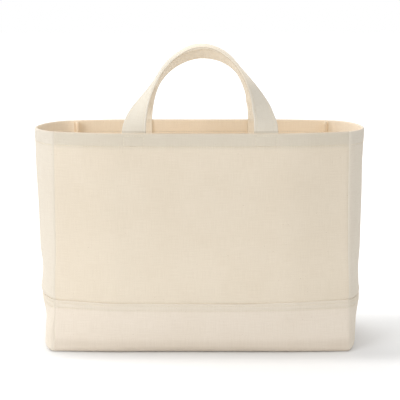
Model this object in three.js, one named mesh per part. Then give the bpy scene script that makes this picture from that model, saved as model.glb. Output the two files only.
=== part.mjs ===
// A canvas basket: an open bag of heavy natural cotton with a band round its base and two short handles.
// Millimetres, +Z up. The front faces -Y. The origin is the middle of the base's underside.
import * as THREE from 'three';

const { degToRad, lerp } = THREE.MathUtils;

// Cloth and sewing
const clothThickness = 1.4;
const hemThickness = 3.6;
const hemDepth = 20;
const lapDepth = 14;
const seamGap = 0.3;

// Heights of the bag, and the zone in which the body swells out above the band
const rimHeight = 310;
const waistHeight = 150;
const bandHeight = 73;
const swellHeight = 14;

// The basket's length and depth, at mid height
const basketLength = 460;
const basketDepth = 174;

// How far its plan stands out from that at each height, at the sides' middle and at the front's and back's
// middle, and how far the seams lie inside it along the length and the depth
const rimShape = { side: 3, panel: -3, seam: 28, frontSeam: 24, backSeam: 15 };
const waistShape = { side: 0, panel: 0, seam: 26, frontSeam: 19, backSeam: 10 };
const swellShape = { side: 0.5, panel: 4, seam: 24, frontSeam: 15, backSeam: 7 };
const bandShape = { side: -3, panel: 2, seam: 25, frontSeam: 15, backSeam: 8 };
const baseShape = { side: -5, panel: 0, seam: 22, frontSeam: 7, backSeam: 6 };

// The back seams stand nearer the middle than the front ones
const backSeamInset = 12;

// How the front and back round off towards the seams, and how full the sides are at each end
const panelRoundness = 1.4;
const sideFullnessFront = 1.5;
const sideFullnessBack = 1;

// Radii of the lower edge
const seamRadius = 5;
const sideRadius = 9;
const panelRadius = 20;

// Tape over the seam allowances inside the bag. It eases over each step in the wall's thickness.
const bindingDepth = 10;
const bindingThickness = 3.5;
const bindingSetback = 1.3;
const bindingLean = 0.45;
const bindingRimDrop = 2;
const bindingEase = 4;

// Handles
const strapWidth = 33;
const strapThickness = 3.5;
const strapSpacing = 179;
const strapEndLength = 21;
const strapEndDrop = 3;
const strapLegEnd = 0.5;
const strapFootGap = 0.35;
const strapMargin = 2;
const frontHandle = {
  rise: 115.5,
  squareness: 2.05,
  twist: degToRad(85),
  twistLength: 92,
  lean: 0,
};
const backHandle = {
  rise: 112.5,
  squareness: 2.2,
  twist: degToRad(100),
  twistLength: 75,
  lean: degToRad(37),
};

// Steps in the meshes
const panelSteps = 20;
const sideSteps = 14;
const bandWallSteps = 3;
const edgeSteps = 4;
const loopSteps = 48;

const rightAngle = Math.PI / 2;
const hemStart = rimHeight - hemDepth;
const swellTop = bandHeight + swellHeight;
const lapStart = bandHeight - lapDepth;
const lapInset = clothThickness + seamGap;
const rimSection = sectionOf(rimShape);
const waistSection = sectionOf(waistShape);
const swellSection = sectionOf(swellShape);
const bandSection = sectionOf(bandShape);
const baseSection = sectionOf(baseShape);
const strapCentre = strapSpacing / 2;
const strapInner = strapCentre - strapWidth / 2;
const strapOuter = strapCentre + strapWidth / 2;
const flatHalf = strapOuter + strapMargin;

// Each handle turns about a line in the middle of the hem, level with the rim
const hingeY = rimSection.panel - hemThickness / 2;
const strapOffset = (hemThickness + strapThickness) / 2 + strapFootGap;

// Half sizes of the basket in plan at one height
function sectionOf(shape) {
  return {
    side: basketLength / 2 + shape.side,
    panel: basketDepth / 2 + shape.panel,
    seamX: basketLength / 2 - shape.seam,
    frontSeamY: basketDepth / 2 - shape.frontSeam,
    backSeamY: basketDepth / 2 - shape.backSeam,
  };
}

function mixSections(low, high, amount) {
  return {
    side: lerp(low.side, high.side, amount),
    panel: lerp(low.panel, high.panel, amount),
    seamX: lerp(low.seamX, high.seamX, amount),
    frontSeamY: lerp(low.frontSeamY, high.frontSeamY, amount),
    backSeamY: lerp(low.backSeamY, high.backSeamY, amount),
  };
}

function shrinkSection(section, amount) {
  return {
    side: section.side - amount,
    panel: section.panel - amount,
    seamX: section.seamX - amount,
    frontSeamY: section.frontSeamY - amount,
    backSeamY: section.backSeamY - amount,
  };
}

// The band's plan at a height
function bandPlan(z) {
  return mixSections(baseSection, bandSection, z / bandHeight);
}

// The body's plan at a height: inside the band in the lap, then swollen, then up to the rim
function bodyPlan(z) {
  if (z <= bandHeight) {
    return shrinkSection(bandPlan(z), lapInset);
  }
  if (z <= swellTop) {
    const tucked = shrinkSection(bandSection, lapInset);
    return mixSections(tucked, swellSection, (z - bandHeight) / swellHeight);
  }
  if (z <= waistHeight) {
    return mixSections(swellSection, waistSection, (z - swellTop) / (waistHeight - swellTop));
  }
  return mixSections(waistSection, rimSection, (z - waistHeight) / (rimHeight - waistHeight));
}

// A point of the front (end -1) or back (end 1), where across runs from -1 to 1 between the seams.
// The middle half of the steps is flat as far as the handles reach, and the rest rounds off to the seams.
function panelPoint(plan, end, across, z, inset, seamInset) {
  const seamX = (end > 0 ? plan.seamX - backSeamInset : plan.seamX) - seamInset;
  const seamY = end > 0 ? plan.backSeamY : plan.frontSeamY;
  const flat = Math.min(1, 2 * Math.abs(across));
  const shoulder = Math.max(0, 2 * Math.abs(across) - 1);
  const x = Math.sign(across) * (flat * flatHalf + shoulder * (seamX - flatHalf));
  const y = plan.panel - (plan.panel - seamY) * shoulder ** panelRoundness - inset;
  return new THREE.Vector3(x, end * y, z);
}

// A point of the left (hand -1) or right (hand 1) side, where turn runs from 0 at the front seam to pi
function sidePoint(plan, hand, turn, z, inset, seamInset) {
  const along = (1 - Math.cos(turn)) / 2;
  const frontY = seamInset - plan.frontSeamY;
  const backY = plan.backSeamY - seamInset;
  const chord = plan.seamX - along * backSeamInset;
  const bulge = plan.side - (plan.seamX - backSeamInset / 2);
  const fullness = turn < rightAngle ? sideFullnessFront : sideFullnessBack;
  const x = chord + bulge * Math.max(0, Math.sin(turn)) ** fullness - inset;
  return new THREE.Vector3(hand * x, lerp(frontY, backY, along), z);
}

// The radius of the lower edge under a panel or a side, small at the seams and larger between them
function panelEdgeRadius(across) {
  return lerp(seamRadius, panelRadius, 1 - across * across);
}

function sideEdgeRadius(turn) {
  return lerp(seamRadius, sideRadius, Math.sin(turn));
}

// The rows of a band, from its top edge down and round the lower edge
function bandRows() {
  const rows = [];
  for (let i = 0; i < bandWallSteps; i += 1) {
    rows.push({ height: 1 - i / bandWallSteps, angle: 0 });
  }
  for (let i = 0; i <= edgeSteps; i += 1) {
    rows.push({ height: 0, angle: (i / edgeSteps) * rightAngle });
  }
  return rows;
}

// The height and inset of a band row, depth inside the outer face, over an edge of the given radius
function bandRowPlace(row, radius, depth) {
  const bend = radius - depth;
  const rounding = bend * (1 - Math.cos(row.angle));
  const edgeZ = depth + bend * (1 - Math.sin(row.angle));
  return {
    z: lerp(edgeZ, bandHeight, row.height),
    inset: depth + rounding,
  };
}

function bandPanelPoint(end, row, across, depth) {
  const place = bandRowPlace(row, panelEdgeRadius(across), depth);
  const corner = bandRowPlace(row, seamRadius, depth);
  return panelPoint(bandPlan(place.z), end, across, place.z, place.inset, corner.inset + seamGap);
}

// The side's clearance to the front and back goes over into the base's clearance round the lower edge
function bandSidePoint(hand, row, turn, depth) {
  const place = bandRowPlace(row, sideEdgeRadius(turn), depth);
  const corner = bandRowPlace(row, seamRadius, depth);
  const seamInset = corner.inset + seamGap * Math.cos(row.angle);
  return sidePoint(bandPlan(place.z), hand, turn, place.z, place.inset, seamInset);
}

function gridOf(rowCount, columnCount, pointAt) {
  const grid = [];
  for (let i = 0; i < rowCount; i += 1) {
    const row = [];
    for (let j = 0; j < columnCount; j += 1) {
      row.push(pointAt(i, j));
    }
    grid.push(row);
  }
  return grid;
}

// Turns the faces round where they point inwards
function facingOut(positions, faces) {
  let volume = 0;
  for (const [a, b, c] of faces) {
    volume += positions[a].dot(positions[b].clone().cross(positions[c]));
  }
  return volume < 0 ? faces.map(([a, b, c]) => [a, c, b]) : faces;
}

function geometryOf(positions, faces) {
  const geometry = new THREE.BufferGeometry();
  const coordinates = positions.flatMap((point) => point.toArray());
  geometry.setAttribute('position', new THREE.Float32BufferAttribute(coordinates, 3));
  geometry.setIndex(facingOut(positions, faces).flat());
  geometry.computeVertexNormals();
  return geometry;
}

// A closed solid between two grids of points, with its four edges closed
function sheetGeometry(outer, inner) {
  const rows = outer.length;
  const columns = outer[0].length;
  const positions = [...outer.flat(), ...inner.flat()];
  const outerAt = (i, j) => i * columns + j;
  const innerAt = (i, j) => rows * columns + i * columns + j;
  const faces = [];
  const addQuad = (a, b, c, d) => faces.push([a, b, c], [a, c, d]);
  for (let i = 0; i < rows - 1; i += 1) {
    for (let j = 0; j < columns - 1; j += 1) {
      addQuad(outerAt(i, j), outerAt(i, j + 1), outerAt(i + 1, j + 1), outerAt(i + 1, j));
      addQuad(innerAt(i, j), innerAt(i + 1, j), innerAt(i + 1, j + 1), innerAt(i, j + 1));
    }
  }
  for (let i = 0; i < rows - 1; i += 1) {
    const last = columns - 1;
    addQuad(outerAt(i, 0), outerAt(i + 1, 0), innerAt(i + 1, 0), innerAt(i, 0));
    addQuad(outerAt(i, last), innerAt(i, last), innerAt(i + 1, last), outerAt(i + 1, last));
  }
  for (let j = 0; j < columns - 1; j += 1) {
    const last = rows - 1;
    addQuad(outerAt(0, j), innerAt(0, j), innerAt(0, j + 1), outerAt(0, j + 1));
    addQuad(outerAt(last, j), outerAt(last, j + 1), innerAt(last, j + 1), innerAt(last, j));
  }
  return geometryOf(positions, faces);
}

// The body's rows from the lap up to the rim, with the hem's step in its thickness
function bodyRows() {
  const middle = (waistHeight + hemStart) / 2;
  const single = [lapStart, bandHeight, swellTop, waistHeight, middle, hemStart];
  const double = [hemStart + clothThickness, rimHeight];
  return [
    ...single.map((z) => ({ z, thickness: clothThickness })),
    ...double.map((z) => ({ z, thickness: hemThickness })),
  ];
}

function bodyPanel(end) {
  const rows = bodyRows();
  const pointAt = (row, j, depth) => {
    const across = -1 + (2 * j) / panelSteps;
    return panelPoint(bodyPlan(row.z), end, across, row.z, depth, depth + seamGap);
  };
  const outer = gridOf(rows.length, panelSteps + 1, (i, j) => pointAt(rows[i], j, 0));
  const inner = gridOf(rows.length, panelSteps + 1, (i, j) => pointAt(rows[i], j, rows[i].thickness));
  return sheetGeometry(outer, inner);
}

function bodySide(hand) {
  const rows = bodyRows();
  const pointAt = (row, j, depth) => {
    const turn = (Math.PI * j) / sideSteps;
    return sidePoint(bodyPlan(row.z), hand, turn, row.z, depth, depth + seamGap);
  };
  const outer = gridOf(rows.length, sideSteps + 1, (i, j) => pointAt(rows[i], j, 0));
  const inner = gridOf(rows.length, sideSteps + 1, (i, j) => pointAt(rows[i], j, rows[i].thickness));
  return sheetGeometry(outer, inner);
}

function sideBand(hand) {
  const rows = bandRows();
  const pointAt = (i, j, depth) => bandSidePoint(hand, rows[i], (Math.PI * j) / sideSteps, depth);
  const outer = gridOf(rows.length, sideSteps + 1, (i, j) => pointAt(i, j, 0));
  const inner = gridOf(rows.length, sideSteps + 1, (i, j) => pointAt(i, j, clothThickness));
  return sheetGeometry(outer, inner);
}

// One cloth: down the front, under the bag and up the back. Its edges follow the side bands' edges.
function baseWrap() {
  const rows = bandRows();
  const lastRow = rows[rows.length - 1];
  const columns = panelSteps + 1;
  const acrossAt = (j) => -1 + (2 * j) / panelSteps;
  const wallGrid = (end, depth) => gridOf(
    rows.length,
    columns,
    (i, j) => bandPanelPoint(end, rows[i], acrossAt(j), depth),
  );
  const gridAt = (depth) => {
    const front = wallGrid(-1, depth);
    const back = wallGrid(1, depth);
    const frontLine = front[rows.length - 1];
    const backLine = back[rows.length - 1];
    const under = gridOf(sideSteps - 1, columns, (i, j) => {
      const turn = (Math.PI * (i + 1)) / sideSteps;
      const along = (1 - Math.cos(turn)) / 2;
      const across = acrossAt(j);
      const chordEnd = lerp(frontLine[panelSteps].x, backLine[panelSteps].x, along);
      const edge = bandSidePoint(1, lastRow, turn, depth).x - seamGap;
      const point = frontLine[j].clone().lerp(backLine[j], along);
      point.x += across * (edge - chordEnd);
      point.y += Math.abs(across) * Math.cos(turn) * seamGap;
      return point;
    });
    return [...front, ...under, ...back.reverse()];
  };
  return sheetGeometry(gridAt(0), gridAt(clothThickness));
}

// The heights at which a binding follows a seam, from the rim down to the corner at the base.
// The last step is that corner, where the tape stands out of the seam and up from the base at once.
function bindingSteps() {
  const bodyStep = (z, inset) => ({ plan: bodyPlan(z), z, inset, upwards: 0 });
  const bandStep = (z, inset, upwards) => ({ plan: bandPlan(z), z, inset, upwards });
  const cornerInset = clothThickness + (seamRadius - clothThickness) * (1 - Math.SQRT1_2);
  return [
    bodyStep(rimHeight - bindingRimDrop, hemThickness),
    bodyStep(hemStart, hemThickness),
    bodyStep(hemStart - bindingEase, clothThickness),
    bodyStep(waistHeight, clothThickness),
    bodyStep(swellTop, clothThickness),
    bodyStep(bandHeight, clothThickness),
    bodyStep(lapStart, clothThickness),
    bandStep(lapStart - bindingEase, clothThickness, 0),
    bandStep(cornerInset, cornerInset, 1),
  ];
}

// The way the tape stands: out of a seam at the front (end -1) or back (end 1), or up from the base (end 0),
// leaning towards the middle of the bag
function tapeDirection(hand, end, upwards) {
  const direction = new THREE.Vector3(-hand * bindingLean, -end, upwards);
  return direction.divideScalar(Math.hypot(1, bindingLean));
}

// The path of a binding: the inside corner line down the front seam, along the base and up the back seam.
// Each place holds the wall's inside point and the way the tape stands there.
function bindingPlaces(hand) {
  const seamPlaces = (end) => bindingSteps().map(({ plan, z, inset, upwards }) => ({
    point: panelPoint(plan, end, hand, z, inset, inset),
    direction: tapeDirection(hand, end, upwards),
  }));
  const front = seamPlaces(-1);
  const back = seamPlaces(1).reverse();
  const cornerReach = bindingSetback + bindingDepth + seamRadius;
  const lowestY = front[front.length - 1].point.y + cornerReach;
  const highestY = back[0].point.y - cornerReach;
  const lastRow = { height: 0, angle: rightAngle };
  const under = [];
  for (let i = 1; i < sideSteps; i += 1) {
    const point = bandSidePoint(hand, lastRow, (Math.PI * i) / sideSteps, clothThickness);
    if (point.y > lowestY && point.y < highestY) {
      under.push({ point, direction: tapeDirection(hand, 0, 1) });
    }
  }
  return [...front, ...under, ...back];
}

function seamBinding(hand) {
  const places = bindingPlaces(hand);
  const sideOf = (i) => {
    const before = places[Math.max(0, i - 1)].point;
    const after = places[Math.min(places.length - 1, i + 1)].point;
    return after.clone().sub(before).cross(places[i].direction).normalize();
  };
  const faceAt = (offset) => gridOf(places.length, 2, (i, j) => {
    const { point, direction } = places[i];
    const depth = bindingSetback + j * bindingDepth;
    return point.clone().addScaledVector(direction, depth).addScaledVector(sideOf(i), offset);
  });
  return sheetGeometry(faceAt(-bindingThickness / 2), faceAt(bindingThickness / 2));
}

// One sewn end of a strap, inside the hem
function strapEnd(end, hand) {
  const top = rimHeight - strapEndDrop;
  const heights = [top - strapEndLength, top];
  const sides = [strapInner, strapOuter];
  const faceAt = (depth) => gridOf(2, 2, (i, j) => new THREE.Vector3(
    hand * sides[j],
    end * (rimSection.panel - hemThickness - seamGap - depth),
    heights[i],
  ));
  return sheetGeometry(faceAt(0), faceAt(strapThickness));
}

// The inner edge of a handle's loop: an arch from foot to foot, in the plane of the handle
function archEdge(handle) {
  const power = 2 / handle.squareness;
  const points = [];
  for (let i = 0; i <= loopSteps; i += 1) {
    const angle = (Math.PI * i) / loopSteps;
    const x = strapInner * Math.sign(Math.cos(angle)) * Math.abs(Math.cos(angle)) ** power;
    const z = handle.rise * Math.max(0, Math.sin(angle)) ** power - strapLegEnd;
    points.push(new THREE.Vector3(x, 0, z));
  }
  return points;
}

// Where the strap's edge lies, and the directions across it and out of its face. The strap turns about its
// inner edge, from facing out of the bag at the feet to facing up at the top.
function strapFrames(handle, inwards) {
  const edge = archEdge(handle);
  const lengths = [0];
  for (let i = 1; i <= loopSteps; i += 1) {
    lengths.push(lengths[i - 1] + edge[i].distanceTo(edge[i - 1]));
  }
  const directionAt = (i) => {
    if (i === 0 || i === loopSteps) {
      return new THREE.Vector3(0, 0, i === 0 ? 1 : -1);
    }
    return edge[i + 1].clone().sub(edge[i - 1]).normalize();
  };
  return edge.map((point, i) => {
    const along = directionAt(i);
    const fromFoot = Math.min(lengths[i], lengths[loopSteps] - lengths[i]);
    const twist = handle.twist * Math.sin(rightAngle * Math.min(1, fromFoot / handle.twistLength));
    const sine = Math.sin(twist);
    const cosine = Math.cos(twist);
    return {
      point,
      across: new THREE.Vector3(along.z * cosine, inwards * sine, -along.x * cosine),
      face: new THREE.Vector3(along.z * sine, -inwards * cosine, -along.x * sine),
    };
  });
}

// The free loop of a handle, leaning out of the bag about the line that it turns on
function handleLoop(end, handle) {
  const inwards = -end;
  const frames = strapFrames(handle, inwards);
  const leaned = new THREE.Matrix4().makeRotationX(inwards * handle.lean);
  const hinge = new THREE.Vector3(0, end * hingeY, rimHeight);
  const faceAt = (offset) => gridOf(loopSteps + 1, 3, (i, j) => {
    const { point, across, face } = frames[i];
    const place = point.clone().addScaledVector(across, (strapWidth * j) / 2);
    place.addScaledVector(face, offset);
    place.y += inwards * strapOffset;
    return place.applyMatrix4(leaned).add(hinge);
  });
  return sheetGeometry(faceAt(strapThickness / 2), faceAt(-strapThickness / 2));
}

function canvas(color) {
  return new THREE.MeshStandardMaterial({ color, roughness: 0.95, metalness: 0 });
}

const model = new THREE.Group();

function addPiece(name, geometry, color) {
  const mesh = new THREE.Mesh(geometry, canvas(color));
  mesh.name = name;
  model.add(mesh);
}

const bodyColor = 0xe3d8c3;
const bandColor = 0xe1d5c3;
const tapeColor = 0xdccdb2;
const handleColor = 0xe8dccb;

addPiece('front_panel', bodyPanel(-1), bodyColor);
addPiece('back_panel', bodyPanel(1), bodyColor);
addPiece('left_gusset', bodySide(-1), bodyColor);
addPiece('right_gusset', bodySide(1), bodyColor);
addPiece('base_wrap', baseWrap(), bandColor);
addPiece('left_side_band', sideBand(-1), bandColor);
addPiece('right_side_band', sideBand(1), bandColor);
addPiece('left_seam_binding', seamBinding(-1), tapeColor);
addPiece('right_seam_binding', seamBinding(1), tapeColor);
addPiece('front_handle', handleLoop(-1, frontHandle), handleColor);
addPiece('back_handle', handleLoop(1, backHandle), handleColor);
for (const [endName, end] of [['front', -1], ['back', 1]]) {
  for (const [handName, hand] of [['left', -1], ['right', 1]]) {
    addPiece(`${endName}_handle_end_${handName}`, strapEnd(end, hand), handleColor);
  }
}

export default model;
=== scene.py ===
from math import hypot, pi, radians, sqrt

import bpy
import numpy as np
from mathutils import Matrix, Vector


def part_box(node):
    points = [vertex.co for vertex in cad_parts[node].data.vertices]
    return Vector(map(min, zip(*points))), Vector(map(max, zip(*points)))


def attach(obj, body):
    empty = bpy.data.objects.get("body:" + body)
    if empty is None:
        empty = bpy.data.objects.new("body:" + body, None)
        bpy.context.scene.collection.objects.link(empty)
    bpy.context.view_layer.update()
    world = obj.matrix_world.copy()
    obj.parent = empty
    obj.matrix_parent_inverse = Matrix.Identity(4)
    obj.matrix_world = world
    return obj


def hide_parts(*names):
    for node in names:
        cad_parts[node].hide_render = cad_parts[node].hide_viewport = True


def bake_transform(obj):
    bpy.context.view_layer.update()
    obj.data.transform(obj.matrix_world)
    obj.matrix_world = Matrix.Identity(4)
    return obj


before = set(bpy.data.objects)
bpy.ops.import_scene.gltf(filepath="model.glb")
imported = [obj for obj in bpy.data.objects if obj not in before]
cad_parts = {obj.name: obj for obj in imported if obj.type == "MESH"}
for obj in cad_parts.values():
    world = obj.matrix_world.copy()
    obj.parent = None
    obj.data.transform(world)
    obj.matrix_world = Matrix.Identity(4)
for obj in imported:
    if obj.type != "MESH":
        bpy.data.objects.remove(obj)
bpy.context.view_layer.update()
print("frame loaded:", len(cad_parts), "nodes")

mm = 0.001

# Half sizes in plan are given as: side's middle, panel's middle, seam x, front seam y, back seam y. The tuck,
# the crease and the swell are heights above the band's top edge, and the others are above the floor.
basket = {
    "rimHeight": round(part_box("front_panel")[1].z / mm, 2),
    "bandHeight": round(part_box("base_wrap")[1].z / mm, 2) + 1.2,  # the fold stands a touch over the solid
    "tuckHeight": -0.7,
    "creaseHeight": 0.5,
    "swellHeight": 7,
    "waistHeight": 150,
    "lapDepth": 14,
    "rimPlan": (234.6, 84, 202, 63, 72),
    "waistPlan": (232, 87, 203.5, 68, 77),
    "swellPlan": (231, 89.7, 205.8, 72.2, 80.1),
    "creasePlan": (227.4, 89.3, 205.2, 72.1, 79.2),
    "bandPlan": (227, 89, 205, 72, 79),
    "basePlan": (225, 87, 208, 80, 81),
    "backSeamInset": 12,
    "flatHalf": 108,
    "panelRoundness": 1.4,
    "shoulderSoftness": 0.3,
    "belly": 3.2,
    "bellyHalf": 165,
    "bellyShares": (0, 1, 0.55, 0),
    "sway": 1,
    "swayHeights": (60, 300),
    "slide": 5.52,
    "slideHalf": 235,
    "sideHeights": (0, 37, 66, 74, 84, 113, 143, 203, 260, 310),
    "leftReach": (-0.9, -3, 2, 1.8, -0.5, -3.2, -0.6, -0.8, -0.6, -1.3),
    "rightReach": (-3, -1.9, 2, 1.4, -2.6, -4.4, -2.3, -2.1, -3, -1.6),
    "sideFullness": (1.5, 1),
    "leftFootFullness": 0.85,
    "leftFootHeights": (60, 25),
}

# Small helpers for shapes

def smoothThrough(keys, values, at):
    # Monotone cubic: each interval is a Hermite curve, and its end slopes are harmonic means of the rises
    # beside them
    keys = np.asarray(keys, float)
    values = np.asarray(values, float)
    step = np.diff(keys)
    rise = np.diff(values) / step
    before, after = rise[:-1], rise[1:]
    together = before * after > 0
    total = np.where(together, before + after, 1)
    slope = np.concatenate([rise[:1], np.where(together, 2 * before * after / total, 0), rise[-1:]])
    i = np.clip(np.searchsorted(keys, at) - 1, 0, len(step) - 1)
    t = (at - keys[i]) / step[i]
    inner = values[i] * (1 + 2 * t) * (1 - t) ** 2 + values[i + 1] * t * t * (3 - 2 * t)
    return inner + step[i] * (slope[i] * t * (1 - t) ** 2 - slope[i + 1] * t * t * (1 - t))


def smoothStep(low, high, at):
    # 0 at low, 1 at high, and 3t^2 - 2t^3 from one to the other
    t = np.clip((at - low) / (high - low), 0, 1)
    return t * t * (3 - 2 * t)


def bell(distance, width):
    # e^-(distance / width)^2: 1 in the middle, and next to nothing at twice the width
    return np.exp(-(distance / width) ** 2)


def softNoise(a, b, seed):
    # Value noise from -1 to 1: random numbers on a grid, eased from one to the next by 6t^5 - 15t^4 + 10t^3
    table = np.random.default_rng(seed).uniform(-1, 1, (64, 64))
    a, b = np.broadcast_arrays(np.asarray(a, float), np.asarray(b, float))
    i, j = np.floor(a).astype(int), np.floor(b).astype(int)
    s, t = a - i, b - j
    s = s ** 3 * (s * (6 * s - 15) + 10)
    t = t ** 3 * (t * (6 * t - 15) + 10)
    near = table[i % 64, j % 64] * (1 - s) + table[(i + 1) % 64, j % 64] * s
    far = table[i % 64, (j + 1) % 64] * (1 - s) + table[(i + 1) % 64, (j + 1) % 64] * s
    return near * (1 - t) + far * t


def unit(vectors):
    # Each vector divided by its length
    return vectors / np.maximum(np.linalg.norm(vectors, axis=-1, keepdims=True), 1e-12)


def runLength(points):
    # How far along its line each point lies
    steps = np.linalg.norm(np.diff(points, axis=0), axis=-1)
    return np.concatenate([[0], np.cumsum(steps)])


def closedLength(*sizes):
    # The same round a closed line, given by its numbers one way and the other
    line = np.stack(sizes, -1)
    return runLength(np.concatenate([line, line[:1]]))


def evenly(start, stop, step):
    # Numbers from start to stop, about a step apart
    count = max(2, int(round(abs(stop - start) / step)) + 1)
    return np.linspace(start, stop, count)


def joined(*parts):
    # Runs of numbers end to end, with a number that repeats the last one left out
    line = np.concatenate(parts)
    return line[np.concatenate([[True], np.abs(np.diff(line)) > 1e-6])]


def surfaceMesh(name, points, faceSets, uvSets):
    # A mesh from points in millimetres. The faces of one set have the same number of corners, and each set
    # comes with a UV in metres for each corner. The faces are turned round where the volume that they close
    # comes out negative.
    points = np.asarray(points, float)
    volume = 0
    for faces in faceSets:
        for i in range(1, faces.shape[1] - 1):
            a, b, c = (points[faces[:, k]] for k in (0, i, i + 1))
            volume += (a * np.cross(b, c)).sum()
    if volume < 0:
        faceSets = [faces[:, ::-1] for faces in faceSets]
        uvSets = [uv[:, ::-1] for uv in uvSets]
    corners = np.concatenate([faces.ravel() for faces in faceSets])
    sizes = np.concatenate([np.full(len(faces), faces.shape[1]) for faces in faceSets])
    mesh = bpy.data.meshes.new(name)
    mesh.vertices.add(len(points))
    mesh.vertices.foreach_set("co", (points * mm).astype(np.float32).ravel())
    mesh.loops.add(len(corners))
    mesh.loops.foreach_set("vertex_index", corners.astype(np.int32))
    mesh.polygons.add(len(sizes))
    mesh.polygons.foreach_set("loop_start", (np.cumsum(sizes) - sizes).astype(np.int32))
    mesh.update(calc_edges=True)
    layer = mesh.uv_layers.new(name="clothLength")
    layer.uv.foreach_set("vector", np.concatenate([uv.reshape(-1) for uv in uvSets]).astype(np.float32))
    mesh.shade_smooth()
    mesh.validate()
    piece = bpy.data.objects.new(name, mesh)
    bpy.context.scene.collection.objects.link(piece)
    return piece


def markPoints(piece, name, values):
    # A number for each point of a piece, which its material reads
    marks = piece.data.attributes.new(name, "FLOAT", "POINT")
    marks.data.foreach_set("value", values.astype(np.float32).ravel())


def loopShell(name, rings, u, v):
    # A closed shell: rings[k, n] is point n along ring k, and the rings follow one another round in a loop.
    # Each end is closed by strips between the rings that face each other, and by a triangle where their
    # number is odd. UV is u along and v round, in millimetres.
    count, along = rings.shape[:2]
    k = np.arange(count)[:, None]
    n = np.arange(along - 1)[None, :]
    after = (k + 1) % count
    quads = np.stack([k * along + n, k * along + n + 1, after * along + n + 1, after * along + n], -1)
    u = np.broadcast_to(u, (count + 1, along))
    v = np.broadcast_to(np.asarray(v)[:, None], (count + 1, along))
    place = np.stack([u, v], -1) * mm
    uv = np.stack([place[:-1, :-1], place[:-1, 1:], place[1:, 1:], place[1:, :-1]], -2)
    lower = np.arange(count // 2 - 1)
    upper = count - 1 - lower
    ends = [np.stack([lower, lower + 1, upper - 1, upper], -1)]
    if count % 2:
        ends.append(count // 2 + np.array([[-1, 0, 1]]))
    faceSets, uvSets = [quads.reshape(-1, 4)], [uv.reshape(-1, 4, 2)]
    for end in ends:
        faceSets += [end * along, (end * along + along - 1)[:, ::-1]]
        uvSets += [place[end, 0], place[end, along - 1][:, ::-1]]
    return surfaceMesh(name, rings.reshape(-1, 3), faceSets, uvSets)


def finished(piece, body, slot, material, *nodes):
    # Gives a piece its material and its body, and hides the nodes that it stands for. The slot is not used.
    piece.data.materials.append(material)
    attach(piece, body)
    if nodes:
        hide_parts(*nodes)


# Materials

class Field:
    # A number that varies over a surface. Arithmetic on it adds Math nodes.
    def __init__(self, shader, socket):
        self.shader = shader
        self.socket = socket

    def maths(self, operation, *values):
        # A Math node on these values
        settings = {"operation": operation}
        return self.shader.node("ShaderNodeMath", settings, dict(enumerate(values)))

    def __add__(self, other):
        return self.maths("ADD", self, other)

    def __sub__(self, other):
        return self.maths("SUBTRACT", self, other)

    def __mul__(self, other):
        return self.maths("MULTIPLY", self, other)

    def __rsub__(self, other):
        return self.maths("SUBTRACT", other, self)

    __radd__ = __add__
    __rmul__ = __mul__

    def cosine(self):
        return self.maths("COSINE", self)

    def size(self):
        return self.maths("ABSOLUTE", self)

    def larger(self, other):
        return self.maths("MAXIMUM", self, other)

    def between(self, low, high):
        # 0 at low, 1 at high, and eased from one to the other
        settings = {"interpolation_type": "SMOOTHSTEP"}
        values = {"Value": self, "From Min": low, "From Max": high}
        return self.shader.node("ShaderNodeMapRange", settings, values)


class Shader:
    # The nodes of a material or of the world
    def __init__(self, owner):
        owner.use_nodes = True
        self.owner = owner
        self.tree = owner.node_tree
        self.tree.nodes.clear()

    def node(self, kind, settings, values, output=0):
        # Makes a node: its settings first, then the values or links of its sockets. Gives one of its outputs.
        made = self.tree.nodes.new(kind)
        for name, value in settings.items():
            setattr(made, name, value)
        for key, value in values.items():
            if isinstance(value, Field):
                self.tree.links.new(value.socket, made.inputs[key])
            else:
                made.inputs[key].default_value = value
        return Field(self, made.outputs[output]) if made.outputs else None

    def outputs(self, kind, values):
        # All the outputs of a node, by name
        made = self.node(kind, {}, values).socket.node
        return {output.name: Field(self, output) for output in made.outputs}

    def mix(self, share, first, second, blend="MIX"):
        # From the first colour to the second by the share
        settings = {"data_type": "RGBA", "blend_type": blend}
        return self.node("ShaderNodeMix", settings, {0: share, 6: first, 7: second}, 2)

    def tinted(self, share, colour, tint):
        # The colour times the tint, over a share of it
        return self.mix(share, colour, tint, "MULTIPLY")

    def mark(self, name):
        # The number that markPoints wrote
        return self.node("ShaderNodeAttribute", {"attribute_name": name}, {}, 2)

    def noise(self, vector, scale, detail=2, roughness=0.5):
        # Soft noise about 0.5, with its scale per metre
        values = {"Vector": vector, "Scale": scale, "Detail": detail, "Roughness": roughness}
        return self.node("ShaderNodeTexNoise", {}, values)

    def vector(self, x, y):
        return self.node("ShaderNodeCombineXYZ", {}, {"X": x, "Y": y})

    def finish(self, surface, output="ShaderNodeOutputMaterial"):
        # Joins the surface to the output, and gives the material or world back
        self.node(output, {}, {"Surface": surface})
        return self.owner


def linear(r, g, b):
    # A colour from 0 to 255 as the linear numbers that the sockets take
    share = np.array([r, g, b]) / 255
    curved = np.where(share <= 0.04045, share / 12.92, ((share + 0.055) / 1.055) ** 2.4)
    return (*[float(value) for value in curved], 1)


def times(colour, share):
    # A colour made lighter or darker
    return (*[min(1, value * share) for value in colour[:3]], 1)


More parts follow.
